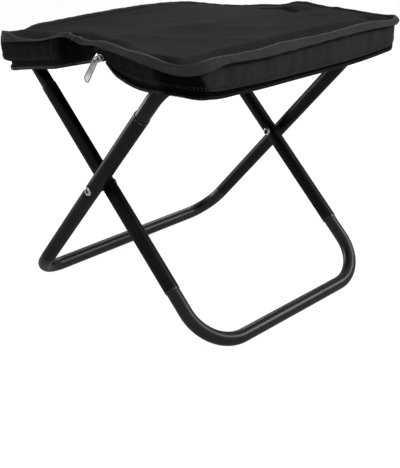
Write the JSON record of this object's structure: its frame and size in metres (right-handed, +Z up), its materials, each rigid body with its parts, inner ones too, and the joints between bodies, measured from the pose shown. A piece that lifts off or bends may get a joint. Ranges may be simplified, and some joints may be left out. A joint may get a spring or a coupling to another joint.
{
  "type": "camp stool",
  "caption": "Low folding camp stool: crossed black tube frames that turn on rivets, plug-in foot rails, and an open zip-round cloth case as the seat.",
  "frame": {"origin": "on the floor, under the middle of the stool's bounding box", "axes": "+X across the crossed legs towards the outer frame's seat rail, -Y the front with the zip tab, +Z up"},
  "size_m": [0.3183, 0.3073, 0.2944],
  "materials": {
    "black_tube": "satin black powder coat",
    "seat_cloth": "dark grey matt woven",
    "wall_cloth": "black matt woven",
    "binding_tape": "dark grey ribbed tape",
    "zip_tape": "black woven tape",
    "zip_coil": "black nylon coil",
    "bright_metal": "bright plated",
    "black_plastic": "matt black"
  },
  "bodies": {
    "outer_frame": {"outer_sleeve_front": "black_tube", "outer_sleeve_rear": "black_tube", "outer_seat_rail": "black_tube", "pivot_rivet_front": "bright_metal", "pivot_rivet_rear": "bright_metal", "spacer_washer_front": "black_plastic", "spacer_washer_rear": "black_plastic"},
    "inner_frame": {"inner_sleeve_front": "black_tube", "inner_sleeve_rear": "black_tube", "inner_seat_rail": "black_tube"},
    "outer_foot": {"outer_foot_rail": "black_tube"},
    "inner_foot": {"inner_foot_rail": "black_tube"},
    "seat_right": {"seat_panel_right": "seat_cloth", "spine_strip": "seat_cloth", "gusset_right": "wall_cloth", "edge_binding_right": "binding_tape", "rail_tunnel_right": "wall_cloth", "zip_tape_right": "zip_tape", "zip_coil_right": "zip_coil", "zip_slider": "bright_metal", "zip_end_stop": "bright_metal", "carry_loop": "binding_tape"},
    "seat_left": {"seat_panel_left": "seat_cloth", "gusset_left": "wall_cloth", "edge_binding_left": "binding_tape", "rail_tunnel_left": "wall_cloth", "zip_tape_left": "zip_tape", "zip_coil_left": "zip_coil"},
    "zip_tab": {"zip_pull_tab": "bright_metal"}
  },
  "joints": [
    {"name": "frame_fold", "type": "hinge", "parent": "outer_frame", "child": "inner_frame", "pos_m": [0, 0, 0.1438], "axis": [0, 1, 0], "range_deg": [0, 68], "deforming": ["spine_strip"]},
    {"name": "seat_right_fold", "type": "hinge", "parent": "outer_frame", "child": "seat_right", "pos_m": [0.12961, 0, 0.27187], "axis": [0, 1, 0], "range_deg": [-44.1, 0]},
    {"name": "seat_left_fold", "type": "hinge", "parent": "inner_frame", "child": "seat_left", "pos_m": [-0.12891, 0, 0.27186], "axis": [0, 1, 0], "range_deg": [0, 44.3]},
    {"name": "inner_foot_pull", "type": "slide", "parent": "inner_frame", "child": "inner_foot", "axis": [0.7095, 0, -0.7047], "range_m": [0, 0.04]},
    {"name": "outer_foot_pull", "type": "slide", "parent": "outer_frame", "child": "outer_foot", "axis": [-0.7113, 0, -0.7029], "range_m": [0, 0.04]},
    {"name": "zip_tab_swing", "type": "hinge", "parent": "seat_right", "child": "zip_tab", "pos_m": [0.0495, -0.15055, 0.27959], "axis": [-0.7431, 0, 0.6691], "range_deg": [0, 150]}
  ],
  "couplings": [
    {"joint": "seat_right_fold", "follows": "frame_fold", "ratio": -0.647},
    {"joint": "seat_left_fold", "follows": "frame_fold", "ratio": 0.6494}
  ]
}
